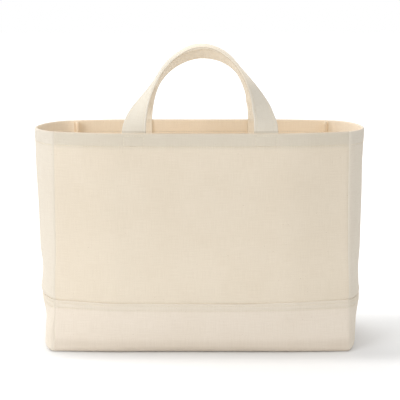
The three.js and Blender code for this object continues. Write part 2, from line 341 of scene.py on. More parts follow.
def weaveOf(shader, look, place):
    # Plain weave on the cloth's own lengths, with a thread at every whole number of u and v. The upright
    # thread stands |cos(pi u)| high where it is over and the cross thread |cos(pi v)|, and the product of the
    # cosines says which is over. The threads waver and are uneven. Gives their height and how full they are.
    lengths = shader.outputs("ShaderNodeSeparateXYZ", {"Vector": place})
    u, v = (lengths[axis] * (1000 / look["pitch"]) for axis in "XY")
    waver = (shader.noise(place, look["waverScale"], 1) - 0.5) * look["waver"]
    warp = ((u + waver) * pi).cosine()
    weft = ((v - waver) * pi).cosine()
    over = warp * weft * 0.5
    warpSlub = shader.noise(shader.vector(u, v * look["slubStretch"]), 1, 1)
    weftSlub = shader.noise(shader.vector(u * look["slubStretch"], v), 1, 1)
    warpHeight = warp.size() * (over + 0.5) * (warpSlub * look["slub"] + (1 - look["slub"] / 2))
    weftHeight = weft.size() * (0.5 - over) * (weftSlub * look["slub"] + (1 - look["slub"] / 2))
    return warpHeight.larger(weftHeight), warpSlub + weftSlub


def canvasMaterial(name, look):
    # Threads with painted shade in their hollows and a painted highlight on their crests, a darker tone where
    # they are thin, mottling, specks, and painted light and shade by height. Its mark inside paints warmer
    # light on the cloth and a glow in place of the light that comes through it, and its mark shade paints
    # shade on it.
    shader = Shader(bpy.data.materials.new(name))
    place = shader.node("ShaderNodeUVMap", {"uv_map": "clothLength"}, {})
    objectPlace = shader.node("ShaderNodeTexCoord", {}, {}, 3)
    z = shader.outputs("ShaderNodeSeparateXYZ", {"Vector": objectPlace})["Z"]
    inside, shade = shader.mark("inside"), shader.mark("shade")
    weave, fullness = weaveOf(shader, look, place)

    # Painted shade in the hollows of the weave and a painted highlight on its crests
    hollow, crest = times(look["colour"], 1 - look["valley"]), times(look["colour"], 1 + look["crown"])
    threads = shader.mix(weave.between(*look["hollowToCrest"]), hollow, crest)
    threads = shader.tinted(fullness.between(*look["fullToThin"]), threads, look["thinTint"])
    mottle = shader.noise(objectPlace, look["mottleScale"], 3, 0.55).between(*look["mottleRange"])
    threads = shader.tinted(mottle, threads, look["mottleTint"])
    specks = shader.noise(place, look["speckScale"], 1).between(*look["speckRange"])
    patches = shader.noise(place, look["patchScale"], 1).between(*look["patchRange"])
    threads = shader.mix(specks * patches * look["speckShare"], threads, look["speck"])
    # Painted light and painted shade by height, on the outside only
    for low, high, tint in look["zones"]:
        threads = shader.tinted(z.between(low, high) * (1 - inside), threads, tint)
    # Painted warm light where the mark inside is
    threads = shader.tinted(inside, threads, look["insidePaintedLight"])
    # Painted shade where the mark shade is
    threads = shader.tinted(shade, threads, look["shadeTint"])

    bump = weave * look["weaveBump"] + shader.noise(place, look["fibreScale"], 2, 0.7) * look["fibreBump"]
    values = {"Strength": look["bump"], "Distance": look["pitch"] * look["relief"] * mm, "Height": bump}
    normal = shader.node("ShaderNodeBump", {}, values)
    spread = look["roughnessSpread"]
    rough = shader.noise(objectPlace, look["roughnessScale"], 2) * spread + (look["roughness"] - spread / 2)
    # The emission is a painted glow where the mark inside is
    values = {
        "Base Color": threads, "Roughness": rough, "Normal": normal,
        "Sheen Weight": look["sheen"], "Sheen Roughness": look["sheenRoughness"],
        "Specular IOR Level": look["specular"],
        "Emission Color": shader.mix(inside, (0, 0, 0, 1), look["insidePaintedGlow"]), "Emission Strength": 1.0,
    }
    return shader.finish(shader.node("ShaderNodeBsdfPrincipled", {}, values))


# The pitch of the threads and the relief of their bump are in millimetres, and noise scales are per metre.
# Zones paint light and shade by height: each is the height where its tint starts, the height where it is
# full, and the tint.
plainLook = {
    "pitch": 1.0, "waver": 0.7, "waverScale": 90, "slub": 0.45, "slubStretch": 0.045,
    "valley": 0.1, "crown": 0.03, "hollowToCrest": (0.1, 0.75),
    "thinTint": (0.968, 0.96, 0.95, 1), "fullToThin": (1.28, 0.72),
    "mottleTint": (0.983, 0.978, 0.97, 1), "mottleScale": 16, "mottleRange": (0.66, 0.34),
    "speck": linear(150, 120, 84), "speckShare": 0.55, "speckScale": 420, "speckRange": (0.735, 0.8),
    "patchScale": 35, "patchRange": (0.5, 0.62),
    # The inside's painted warm light and painted glow, and the tint of the painted shade
    "insidePaintedLight": (1.245, 1.2, 1.17, 1), "insidePaintedGlow": (0.04, 0.038, 0.026, 1),
    "shadeTint": (0.7, 0.67, 0.63, 1), "zones": [],
    "bump": 0.5, "relief": 0.22, "weaveBump": 0.8, "fibreBump": 0.35, "fibreScale": 2600,
    "roughness": 0.92, "roughnessSpread": 0.08, "roughnessScale": 60,
    "sheen": 0.08, "sheenRoughness": 0.5, "specular": 0.25,
}
bodyLook = {
    **plainLook, "colour": linear(229, 217, 198),
    "zones": [
        # Painted light: the lower wall lighter towards the band
        (0.24, 0.09, (1.06, 1.065, 1.07, 1)),
        # Painted shade: the hem darker and cooler, for the light that the single cloth lets through and the
        # thick hem does not
        (0.286, 0.296, (0.877, 0.902, 0.922, 1)),
        # Painted highlight along the top of the rim's fold
        (0.3075, 0.3098, (1.08, 1.05, 1.03, 1)),
    ],
}
sideLook = {
    **plainLook, "colour": linear(227, 218, 203),
    # The same painted light, shade and highlight as on the panels, but weaker
    "zones": [
        (0.24, 0.09, (1.04, 1.045, 1.05, 1)),
        (0.286, 0.296, (0.955, 0.965, 0.98, 1)),
        (0.3075, 0.3098, (1.06, 1.04, 1.03, 1)),
    ],
}
bandLook = {
    **plainLook, "colour": linear(239, 228, 213),
    "zones": [
        # Painted shade: darker towards the lower edge, where the band turns under the bag
        (0.0235, 0.0125, (0.91, 0.898, 0.884, 1)),
        # Painted shade over the band's folded top
        (0.0605, 0.0635, (0.95, 0.955, 0.945, 1)),
    ],
}
# The side bands take only the painted shade over the folded top
sideBandLook = {**bandLook, "colour": linear(235, 225, 210), "zones": bandLook["zones"][1:]}
tapeLook = {**plainLook, "colour": linear(227, 211, 188), "pitch": 0.7, "bump": 0.4}
strapLook = {**plainLook, "colour": linear(229, 222, 208), "pitch": 0.95, "bump": 0.35}
threadLook = {
    "colour": linear(240, 231, 214), "dark": linear(222, 208, 184), "roughness": 0.75,
    "darkToLight": (0.35, 0.65), "fibreScale": 1800, "bump": 0.4, "relief": 0.1,
}

bodyCanvas = canvasMaterial("body_canvas", bodyLook)
sideCanvas = canvasMaterial("side_canvas", sideLook)
bandCanvas = canvasMaterial("band_canvas", bandLook)
sideBandCanvas = canvasMaterial("side_band_canvas", sideBandLook)
bindingTape = canvasMaterial("binding_tape", tapeLook)
strapWebbing = canvasMaterial("strap_webbing", strapLook)


def threadMaterial(look):
    # Twisted cotton: light and dark fibres, which also stand up and lie down
    shader = Shader(bpy.data.materials.new("cotton_thread"))
    place = shader.node("ShaderNodeTexCoord", {}, {}, 3)
    fibre = shader.noise(place, look["fibreScale"], 2, 0.6)
    colour = shader.mix(fibre.between(*look["darkToLight"]), look["dark"], look["colour"])
    values = {"Strength": look["bump"], "Distance": look["relief"] * mm, "Height": fibre}
    normal = shader.node("ShaderNodeBump", {}, values)
    values = {"Base Color": colour, "Roughness": look["roughness"], "Normal": normal}
    return shader.finish(shader.node("ShaderNodeBsdfPrincipled", {}, values))


cottonThread = threadMaterial(threadLook)
print("materials made")


# The basket's shape. The row steps are those in the lap, up the wall, beside a row of thread, up the hem and
# over the rim. The swell of the hem starts at its row of thread and ends below the rim. Over the rim's fold
# the cloth turns from outside to inside between two angles.

cloth = {
    "thickness": 1.4,
    "lapInset": 1.7,
    "hemThickness": 3.6,
    "hemDepth": 21.6,
    "hemSwell": 0.3,
    "swellStart": 5,
    "swellEnd": (1, 8),
    "hemRow": 18.3,
    "grooveDepth": 0.25,
    "grooveWidth": 1.1,
    "columnStep": 1.8,
    "seamColumns": (0, 0.3, 0.7, 1.2, 1.8, 2.5, 3.4, 4.5),
    "rowSteps": (2, 3.4, 0.6, 1.8, 0.7),
    "lapRun": 36,
    "grooveRun": 4,
    "rimRun": 7.5,
    "insideTurn": (1, 2.8),
}


def planAt(keys, plans, z):
    # Each half size of the plan at a height, on a smooth line through the plans given
    table = np.array(plans, float)
    return [smoothThrough(keys, table[:, i], z) for i in range(table.shape[1])]


def bandPlan(z):
    # From the floor to the band's top edge
    return planAt((0, basket["bandHeight"]), (basket["basePlan"], basket["bandPlan"]), z)


def bodyPlan(z):
    # Inside the band in the lap, then swollen above it, then up to the rim
    lowest, tucked = (np.array(basket[plan]) - cloth["lapInset"] for plan in ("basePlan", "bandPlan"))
    plans = [basket[plan] for plan in ("creasePlan", "swellPlan", "waistPlan", "rimPlan")]
    lap = [basket["bandHeight"] + basket[place] for place in ("tuckHeight", "creaseHeight", "swellHeight")]
    heights = [0, *lap, basket["waistHeight"], basket["rimHeight"]]
    return planAt(heights, [lowest, tucked, *plans], z)


def bellyAt(x, z):
    # How far the middle of a panel stands out: most at the band's top edge, none at the rim and the floor,
    # and (1 - (x / bellyHalf)^2)^2 across
    heights = (0, basket["bandHeight"], basket["waistHeight"], basket["rimHeight"])
    high = smoothThrough(heights, basket["bellyShares"], z)
    return basket["belly"] * high * np.clip(1 - (x / basket["bellyHalf"]) ** 2, 0, 1) ** 2


def leanAt(x, z):
    # The bag stands a touch over to the left towards the rim, and its seams sit a little to the right, by
    # s^2 (1 - s^8) with s the share of the half length
    share = np.clip(np.abs(x) / basket["slideHalf"], 0, 1)
    slide = basket["slide"] * share ** 2 * (1 - share ** 8)
    return slide - basket["sway"] * smoothStep(*basket["swayHeights"], z)


def panelPoint(plan, end, s, z, inset=0, seamInset=0):
    # Front (end -1) or back (end 1), with s from -1 to 1 between the seams: flat in the middle, and past
    # flatHalf it drops back by a power of the distance, softened where it starts
    side, panel, seamX, frontSeamY, backSeamY = plan(z)
    seamX = seamX - (basket["backSeamInset"] if end > 0 else 0) - seamInset
    seamY = backSeamY if end > 0 else frontSeamY
    x = s * seamX
    shoulder = np.clip((np.abs(x) - basket["flatHalf"]) / (seamX - basket["flatHalf"]), 0, None)
    soft, power = basket["shoulderSoftness"] ** 2, basket["panelRoundness"] / 2
    drop = ((shoulder ** 2 + soft) ** power - soft ** power) / ((1 + soft) ** power - soft ** power)
    y = panel - (panel - seamY) * drop + bellyAt(x, z) - inset
    return np.stack([x + leanAt(x, z), end * y, z + 0 * x], -1)


def sidePoint(plan, hand, turn, z, inset=0, seamInset=0):
    # Left (hand -1) or right (hand 1), with turn from 0 at the front seam to pi at the back seam: the chord
    # between the seams plus a bulge of sin(turn) to the power of the fullness. The left side's front corner
    # is squarer at the foot.
    side, panel, seamX, frontSeamY, backSeamY = plan(z)
    along = (1 - np.cos(turn)) / 2
    chord = seamX - along * basket["backSeamInset"]
    bulge = side - (seamX - basket["backSeamInset"] / 2)
    front, back = basket["sideFullness"]
    if hand < 0:
        front = front + (basket["leftFootFullness"] - front) * smoothStep(*basket["leftFootHeights"], z)
    fullness = np.where(turn < pi / 2, front, back)
    reach = smoothThrough(basket["sideHeights"], basket["rightReach" if hand > 0 else "leftReach"], z)
    x = chord + (bulge + reach) * np.clip(np.sin(turn), 0, 1) ** fullness - inset
    y = along * (backSeamY - seamInset) - (1 - along) * (frontSeamY - seamInset)
    return np.stack([hand * x + leanAt(x, z), y + 0 * x, z + 0 * x], -1)


# Each wall: a panel's end or a side's hand, the seed of its ripples, and the node that it stands for
walls = {
    "front": {"panel": True, "way": -1, "seed": 11, "node": "front_panel"},
    "back": {"panel": True, "way": 1, "seed": 23, "node": "back_panel"},
    "left": {"panel": False, "way": -1, "seed": 37, "node": "left_gusset"},
    "right": {"panel": False, "way": 1, "seed": 43, "node": "right_gusset"},
}

# Each set of waves: how high, how long along the wall and up it, and where it starts in the noise
waves = {
    "broad": (1.5, 140, 170, 7.3, 3.1),
    "middle": (0.75, 60, 95, 1.7, 5.9),
    "fine": (0.14, 19, 27, 2.2, 8.4),
}
ripples = {
    "seamCalm": 26, "fineCalm": 12, "sideShare": 0.35,
    "bandCalm": 0.6, "bandReach": (60, 5), "rimCalm": 0.45, "rimHeights": (240, 292),
    "wander": 0.7, "wanderLength": 70, "wanderReach": 25, "wanderSeed": 71,
    "seamDip": 0.5, "seamDipWidth": 1.5, "seamNormalReach": 4,
}


def panelAt(end):
    # The wall at the front (end -1) or at the back (end 1)
    return walls["front" if end < 0 else "back"]


def sideAt(hand):
    # The wall on the left (hand -1) or on the right (hand 1)
    return walls["left" if hand < 0 else "right"]


def wallPoint(wall, plan, at, z, inset=0, seamInset=0):
    # A point of the plain shape, by its place along the wall and its height
    point = panelPoint if wall["panel"] else sidePoint
    return point(plan, wall["way"], at, z, inset, seamInset)


def wallNormal(wall, plan, at, z):
    # Outward normal, from small steps along the wall and up it
    small = 1e-3
    along = wallPoint(wall, plan, at + small, z) - wallPoint(wall, plan, at - small, z)
    up = wallPoint(wall, plan, at, z + small) - wallPoint(wall, plan, at, z - small)
    turned = -wall["way"] if wall["panel"] else wall["way"]
    return unit(np.cross(along, up)) * turned


def measureWall(wall):
    # The wall's run from edge to edge halfway up, as a table from place to length
    wall["at"] = np.linspace(-1, 1, 4001) if wall["panel"] else np.linspace(0, pi, 4001)
    wall["run"] = runLength(wallPoint(wall, bodyPlan, wall["at"], basket["waistHeight"]))


for wall in walls.values():
    measureWall(wall)


def seamNormal(hand, end, z):
    # The way out of a seam: halfway between the normals of its two cloths
    turn = 0 if end < 0 else pi
    panelWay = wallNormal(panelAt(end), bodyPlan, hand + 0 * z, z)
    return unit(panelWay + wallNormal(sideAt(hand), bodyPlan, turn + 0 * z, z))


def waveAt(name, seed, run, z):
    # One set of waves: its height times noise at its own lengths
    height, along, up, runStart, zStart = waves[name]
    return softNoise(run / along + runStart, z / up + zStart, seed) * height


def wallLift(wall, at, z):
    # How far the cloth stands out of its plain shape and which way: broad, middle and fine noise that calms
    # near the rim, the band and the seams, the seams' own slow wander, and the dip into each seam
    run = np.interp(at, wall["at"], wall["run"])
    fromEnd = wall["run"][-1] - run
    edge = np.minimum(run, fromEnd)
    broad, middle, fine = (waveAt(name, wall["seed"] + i, run, z) for i, name in enumerate(waves))
    nearBand = smoothStep(*ripples["bandReach"], np.abs(z - basket["bandHeight"]))
    bandCalm = 1 - (1 - ripples["bandCalm"]) * nearBand
    rimCalm = 1 - (1 - ripples["rimCalm"]) * smoothStep(*ripples["rimHeights"], z)
    share = 1 if wall["panel"] else ripples["sideShare"]
    lift = (broad + middle) * share * bandCalm * rimCalm * smoothStep(0, ripples["seamCalm"], edge)
    lift = lift + fine * smoothStep(0, ripples["fineCalm"], edge)
    lift = lift - ripples["seamDip"] * bell(edge, ripples["seamDipWidth"])
    normal = wallNormal(wall, bodyPlan, at, z)
    for corner, near in ((-1, run), (1, fromEnd)):
        hand, end = (corner, wall["way"]) if wall["panel"] else (wall["way"], corner)
        wander = softNoise(z / ripples["wanderLength"] + 4.1, 0.5 + hand + 3 * end, ripples["wanderSeed"])
        lift = lift + wander * ripples["wander"] * bell(near, ripples["wanderReach"]) * bandCalm
        close = bell(near, ripples["seamNormalReach"])[..., None]
        normal = unit(normal * (1 - close) + seamNormal(hand, end, z) * close)
    return lift, normal


# The box of thread over each sewn end of a strap. Each of its sides is sewn over a share of its length.
footThread = {
    "low": 292, "high": 306.6, "inner": 75.6, "outer": 103.4, "dent": 0.4, "dentWidth": 0.8,
    "swell": 0.45, "swellEdge": (3.5, -1), "columnReach": 1.6, "columnGap": 0.9, "outsideDepth": -0.05,
    "strapGap": 0.3, "sewnShare": (0.03, 0.97),
}


def footLift(wall, at, z):
    # The sewn end pushes the hem out a little, and the thread pulls in a groove. Both go by how far a place
    # is outside the box.
    if not wall["panel"]:
        return 0
    x = np.abs(at * basket["rimPlan"][2])
    inner, outer, low, high = (footThread[edge] for edge in ("inner", "outer", "low", "high"))
    beside = np.abs(x - (inner + outer) / 2) - (outer - inner) / 2
    outside = np.maximum(beside, np.abs(z - (low + high) / 2) - (high - low) / 2)
    dent = footThread["dent"] * bell(outside, footThread["dentWidth"])
    return footThread["swell"] * smoothStep(*footThread["swellEdge"], outside) - dent


def bodyCloth(wall, at, z, depth):
    # A point of the body's cloth, depth inside its outer face
    lift, normal = wallLift(wall, at, z)
    lift = lift + footLift(wall, at, z)
    return wallPoint(wall, bodyPlan, at, z) + normal * (lift - depth)[..., None]


def wallColumns(wall, step):
    # Places across a wall, a step apart and closer together at each seam and in the grooves of the foot boxes
    fine = np.array(cloth["seamColumns"])
    length = wall["run"][-1]
    middle = evenly(fine[-1] + step, length - fine[-1] - step, step)
    at = np.interp(np.concatenate([fine, middle, length - fine[::-1]]), wall["run"], wall["at"])
    if not wall["panel"]:
        return at
    half = basket["rimPlan"][2]
    edges = np.array([-footThread["outer"], -footThread["inner"], footThread["inner"], footThread["outer"]])
    reach = footThread["columnReach"]
    extra = ((edges[:, None] + np.linspace(-reach, reach, 7)) / half).ravel()
    near = np.abs(at[:, None] - extra).min(1) < footThread["columnGap"] / half
    return np.sort(np.concatenate([at[~near], extra]))


# The cloths of the body

def groove(distance):
    # The dent that a row of thread makes
    return cloth["grooveDepth"] * bell(distance, cloth["grooveWidth"])


def bodyProfile():
    # Height and depth round one body cloth: up the outside, over the fold of the rim, down the hem inside,
    # round the hem's lower fold and down the single cloth. The third line is 0 outside and 1 inside.
    rim = basket["rimHeight"]
    low = basket["bandHeight"] - basket["lapDepth"]
    row = rim - cloth["hemRow"]
    fold = cloth["hemThickness"] / 2
    edge = (cloth["hemThickness"] - cloth["thickness"]) / 2
    hemLow = rim - cloth["hemDepth"]
    lapStep, wallStep, grooveStep, hemStep, rimStep = cloth["rowSteps"]
    lapTop, nearRow, nearRim = low + cloth["lapRun"], cloth["grooveRun"], rim - cloth["rimRun"]
    outside = joined(
        evenly(low, lapTop, lapStep), evenly(lapTop, row - nearRow, wallStep),
        evenly(row - nearRow, row + nearRow, grooveStep), evenly(row + nearRow, nearRim, hemStep),
        evenly(nearRim, rim - fold, rimStep),
    )
    swell = cloth["hemSwell"] * smoothStep(row, row + cloth["swellStart"], outside)
    swell = swell * smoothStep(*(rim - down for down in cloth["swellEnd"]), outside)
    turn = np.linspace(0, pi, 11)[1:-1]
    hem = joined(evenly(rim - fold, row + nearRow, hemStep), evenly(row + nearRow, hemLow + edge, grooveStep))
    quarter = np.linspace(0, pi / 2, 5)[1:]
    inside = joined(evenly(hemLow, lapTop, wallStep), evenly(lapTop, low, lapStep))
    z = [outside, rim - fold + fold * np.sin(turn), hem, hemLow + edge - edge * np.sin(quarter), inside]
    depth = [
        groove(outside - row) - swell,
        fold - fold * np.cos(turn),
        cloth["hemThickness"] - groove(hem - row),
        cloth["hemThickness"] - edge + edge * np.cos(quarter),
        np.full(len(inside), cloth["thickness"]),
    ]
    over = smoothStep(*cloth["insideTurn"], turn)
    inner = [0 * outside, over, 1 + 0 * hem, 1 + 0 * quarter, 1 + 0 * inside]
    return np.concatenate(z), np.concatenate(depth), np.concatenate(inner)


bodyZ, bodyDepth, bodyInner = bodyProfile()
for side, wall in walls.items():
    columns = wallColumns(wall, cloth["columnStep"])
    points = bodyCloth(wall, columns[None, :], bodyZ[:, None], bodyDepth[:, None])
    run = np.interp(columns, wall["at"], wall["run"])
    piece = loopShell(side + "_cloth", points, run[None, :], closedLength(bodyZ, bodyDepth))
    # The mark inside places the painted warm light and glow of the bag's inside on the cloth
    markPoints(piece, "inside", bodyInner[:, None] + 0 * columns)
    finished(piece, "bag", "body_canvas", bodyCanvas if wall["panel"] else sideCanvas, wall["node"])
print("body cloths made")


# The band: one cloth down the front, under the bag and up the back, and one round each side. Its rows of
# thread and the ends of its fold's swell are measured down from its top edge.

band = {
    "thickness": 1.4,
    "foldSwell": 0.35,
    "swellEnd": (13, 9),
    "swellTop": (4, 0),
    "topDrop": 0.3,
    "innerGroove": 0.5,
    "foldRows": (4, 11),
    "rowSteps": (0.6, 2.4),
    "fineRun": 13.5,
    "columnStep": 2.2,
    "seamRadius": 5,
    "panelRadius": 12.5,
    "sideRadius": 9,
    "lowCalm": 0.35,
    "calmHeights": (4, 40),
    "underSteps": 24,
}


def bandRadius(wall, at):
    # The radius of the lower edge, small at the seams and larger between them: by sin(turn) on a side, and by
    # (1 - s^2)^0.8 on a panel, with s half the way at the end of its flat part
    small = band["seamRadius"]
    if not wall["panel"]:
        return small + (band["sideRadius"] - small) * np.clip(np.sin(at), 0, 1)
    x = np.abs(at) * basket["basePlan"][2]
    flat = basket["flatHalf"]
    across = np.clip(x / flat, 0, 1) / 2 + np.clip((x - flat) / (basket["basePlan"][2] - flat), 0, 1) / 2
    return small + (band["panelRadius"] - small) * (1 - across ** 2) ** 0.8


def edgePlace(z, angle, radius, depth):
    # On the wall (angle 0) the height given, and round the lower edge its height and inset, depth inside
    bend = radius - depth
    return np.where(angle > 0, depth + bend * (1 - np.sin(angle)), z), depth + bend * (1 - np.cos(angle))


def bandCloth(wall, at, height, angle, depth):
    # A point of the band: height runs from 0 at the lower edge to 1 at the fold, and angle from 0 to pi / 2
    # round the lower edge
    radius = bandRadius(wall, at)
    wallZ = radius + (basket["bandHeight"] - radius) * height
    z, inset = edgePlace(wallZ, angle, radius, depth)
    corner = edgePlace(wallZ, angle, band["seamRadius"], depth)[1]
    lift, normal = wallLift(wall, at, z)
    calm = np.cos(angle) * (band["lowCalm"] + (1 - band["lowCalm"]) * smoothStep(*band["calmHeights"], z))
    return wallPoint(wall, bandPlan, at, z, inset, corner) + normal * (lift * calm)[..., None]


def lowestLine(wall, at, depth):
    # The band's line where it has turned under the bag
    return bandCloth(wall, at, 0 * at, pi / 2 + 0 * at, depth)


def bandProfile():
    # Height and angle of the rows from the fold down to the flat underside, closer at the thread rows
    deep, fine = basket["bandHeight"], band["fineRun"]
    fineStep, step = band["rowSteps"]
    rows = joined(evenly(1, fine, fineStep), evenly(fine, deep - 1, step)) / deep
    height = np.concatenate([1 - rows, [0]])
    angle = np.linspace(0, pi / 2, 9)[1:]
    return np.concatenate([height, 0 * angle]), np.concatenate([0 * height, angle])


bandHeightAt, bandAngleAt = bandProfile()


def bandDepths(inner):
    # Depth of each row: a fold that swells, less at its top, and grooves at the rows of thread, which are
    # shallower inside
    down = basket["bandHeight"] * (1 - bandHeightAt)
    wave = sum(groove(down - row) for row in band["foldRows"])
    if inner:
        return band["thickness"] - wave * band["innerGroove"]
    swell = band["foldSwell"] * smoothStep(*band["swellEnd"], down)
    return wave - swell * (1 - band["topDrop"] * smoothStep(*band["swellTop"], down))


def bandFold(wall, at):
    # The fold at the top: half a circle from the outer face over to the inner one
    outer, inner = bandDepths(False)[0], bandDepths(True)[0]
    middle, half = (outer + inner) / 2, (inner - outer) / 2
    turn = np.linspace(0, pi, 7)[1:-1][:, None]
    height = bandHeightAt[0] + half * np.sin(turn) / basket["bandHeight"]
    return bandCloth(wall, at[None, :], height, 0 * turn, middle - half * np.cos(turn))


def bandSheet(wall, at, inner):
    # One face of the band: every row of its profile
    height, angle = bandHeightAt[:, None], bandAngleAt[:, None]
    return bandCloth(wall, at[None, :], height, angle, bandDepths(inner)[:, None])


def bandUnder(at, frontLine, backLine, depth):
    # Rows under the bag from the front's last row to the back's, (1 - cos(turn)) / 2 of the way across, drawn
    # out at the ends to the side bands' edges
    turn = np.linspace(0, pi, band["underSteps"] + 1)[1:-1]
    along = ((1 - np.cos(turn)) / 2)[:, None]
    rows = frontLine * (1 - along[..., None]) + backLine * along[..., None]
    edge = lowestLine(walls["right"], turn, depth)[:, 0][:, None]
    rows[..., 0] += at * (edge - rows[:, -1:, 0])
    return rows


def sideBandCloth(wall):
    # The outer face down, the inner face up and the fold over the top
    at = wallColumns(wall, band["columnStep"])
    outer, inner = bandSheet(wall, at, False), bandSheet(wall, at, True)
    return at, np.concatenate([outer, inner[::-1], bandFold(wall, at)[::-1]])


def baseCloth():
    # Front and back share their columns, so that the rows under the bag join the two
    at = wallColumns(walls["front"], band["columnStep"])
    faces = []
    for inner in (False, True):
        front, back = bandSheet(walls["front"], at, inner), bandSheet(walls["back"], at, inner)
        under = bandUnder(at, front[-1], back[-1], band["thickness"] if inner else 0)
        faces.append(np.concatenate([front, under, back[::-1]]))
    backFold, frontFold = bandFold(walls["back"], at), bandFold(walls["front"], at)
    return at, np.concatenate([faces[0], backFold, faces[1][::-1], frontFold[::-1]])


def ringLength(rings):
    # How far round each row lies, halfway along the cloth
    middle = rings[:, rings.shape[1] // 2]
    return runLength(np.concatenate([middle, middle[:1]]))


at, rings = baseCloth()
piece = loopShell("base_cloth", rings, (at * walls["front"]["run"][-1] / 2)[None, :], ringLength(rings))
finished(piece, "bag", "band_canvas", bandCanvas, "base_wrap")
for side in ("left", "right"):
    at, rings = sideBandCloth(walls[side])
    run = np.interp(at, walls[side]["at"], walls[side]["run"])
    piece = loopShell(side + "_band_cloth", rings, run[None, :], ringLength(rings))
    finished(piece, "bag", "band_canvas", sideBandCanvas, side + "_side_band")
print("band cloths made")


# The tape that binds each inside seam, from the rim down, along the base and up to the rim

# The tape's shade is the share of the inside's painted warm light and glow that it takes
binding = {
    "depth": 10, "thickness": 3.4, "roundness": 1.3, "setback": 0.2, "lean": 0.45, "rimDrop": 2,
    "step": 4, "faceStep": 1.6, "lapGap": 4, "lowEnd": 18, "cornerGap": 1, "shade": 0.8,
}


def tapeWay(hand, end, upwards):
    # The way the tape stands out: away from the side, away from the panel at an end, and up off the base
    return np.array([-hand * binding["lean"], -end, upwards]) / hypot(1, binding["lean"])


def bindingPath(hand):
    # The inside corner line and the way the tape stands out of it. The corner at the base is a single place,
    # where the tape is mitred.
    rim, low = basket["rimHeight"], basket["bandHeight"] - basket["lapDepth"]
    thin, radius = cloth["thickness"], band["seamRadius"]
    z = evenly(rim - binding["rimDrop"], low, binding["step"])
    inset = np.where(z > rim - cloth["hemDepth"], cloth["hemThickness"], thin)
    cornerInset = thin + (radius - thin) * (1 - sqrt(0.5))
    lowZ = evenly(low - binding["lapGap"], binding["lowEnd"], binding["step"])
    lines, ways = [], []
    for end in (-1, 1):
        lift = wallLift(panelAt(end), hand + 0 * z, z)[0] + ripples["seamDip"]
        body = panelPoint(bodyPlan, end, hand, z, inset, inset)
        body[:, 1] += end * lift
        lower = panelPoint(bandPlan, end, hand, lowZ, thin, thin)
        corner = panelPoint(bandPlan, end, hand, np.array([cornerInset]), cornerInset, cornerInset)
        line = np.concatenate([body, lower, corner])
        way = np.concatenate([np.tile(tapeWay(hand, end, 0), (len(line) - 1, 1)), [tapeWay(hand, end, 1)]])
        lines.append(line if end < 0 else line[::-1])
        ways.append(way if end < 0 else way[::-1])
    turn = np.linspace(0, pi, 41)
    under = lowestLine(sideAt(hand), turn, thin)
    reach = binding["setback"] + binding["depth"] + radius + binding["cornerGap"]
    under = under[(under[:, 1] > lines[0][-1, 1] + reach) & (under[:, 1] < lines[1][0, 1] - reach)]
    line = np.concatenate([lines[0], under, lines[1]])
    return line, np.concatenate([ways[0], np.tile(tapeWay(hand, 0, 1), (len(under), 1)), ways[1]])


def roundedSection(width, thick, radius, faceStep):
    # A rectangle with rounded corners as a closed loop from one corner round: places across it and off its
    # middle. Each half is a flat and two quarter circles.
    quarter = np.linspace(0, pi / 2, 5)
    flat = evenly(radius, width - radius, faceStep)[1:-1]
    across, off = [], []
    for centre, way, line in ((width - radius, 1, flat), (radius, -1, flat[::-1])):
        across += [line]
        off += [0 * line + way * thick / 2]
        for side, start in ((way, way * pi / 2), (-way, way * pi / 2 - pi / 2)):
            across += [centre + radius * np.cos(start - quarter)]
            off += [side * (thick / 2 - radius) + radius * np.sin(start - quarter)]
    return np.concatenate(across), np.concatenate(off)


def sweptTube(path, acrossWay, faceWay, across, off):
    # A closed section carried along a path: rings[k, n] is path[n] + across[k] * acrossWay[n] + off[k] *
    # faceWay[n]
    return path[None] + across[:, None, None] * acrossWay[None] + off[:, None, None] * faceWay[None]


for side, hand in (("left", -1), ("right", 1)):
    path, way = bindingPath(hand)
    forward = unit(np.gradient(path, axis=0))
    face = unit(np.cross(forward, way))
    section = roundedSection(*(binding[part] for part in ("depth", "thickness", "roundness", "faceStep")))
    rings = sweptTube(path + way * binding["setback"], way, face, *section)
    piece = loopShell(side + "_binding_tape", rings, runLength(path)[None, :], closedLength(*section))
    # The whole tape takes that share of the inside's painted warm light and glow
    markPoints(piece, "inside", np.full(rings.shape[:2], binding["shade"]))
    finished(piece, "bag", "binding_tape", bindingTape, side + "_seam_binding")
print("bindings made")


# The handles: one strap each, from its sewn end inside the hem round the loop to the other end. A fold is its
# height above the rim at the inner edge, its slope across, its size and its width.

strap = {
    "width": 33, "thickness": 2.8, "sewnLow": 286, "offset": 3.3, "hinge": 82.2, "edgeRadius": 1.25,
    "threadInset": 4, "crown": 0.25, "dentShare": 0.6, "faceStart": 0.5, "step": 1.6, "faceStep": 0.9,
    "waves": 0.4, "waveLengths": (24, 30), "waveSlant": 0.8, "panelHeight": 300.0, "sewnEase": 14,
    "folds": ((31, -0.3, -1.1, 6), (19, -0.25, 0.5, 5)),
}
# The edge line is the strength of the painted shade along a strap's inner edge, and the top light that of the
# painted light on the right of its top
handles = {
    "front": {
        "way": -1, "inner": 73, "rise": 115.2, "squareness": 2.2, "roofness": 1.97, "shift": 3.2,
        "lean": 0, "twist": 86.5, "twistLengths": (78, 100), "seed": 5, "edgeShadeLine": 1, "topLight": 1,
    },
    "back": {
        "way": 1, "inner": 71.6, "rise": 107.8, "squareness": 2.8, "roofness": 1.89, "shift": 6.1,
        "lean": 37.3, "twist": 97, "twistLengths": (44, 75), "seed": 9, "edgeShadeLine": 0.2, "topLight": 0,
    },
}


def turnedAboutX(vectors, angle):
    # x stays, y becomes y cos - z sin, and z becomes y sin + z cos
    x, y, z = vectors[..., 0], vectors[..., 1], vectors[..., 2]
    return np.stack([x, y * np.cos(angle) - z * np.sin(angle), y * np.sin(angle) + z * np.cos(angle)], -1)


def withFeet(values, count, first, last):
    # The values of the loop between those of the two feet
    return np.concatenate([np.full(count, float(first)), values, np.full(count, float(last))])


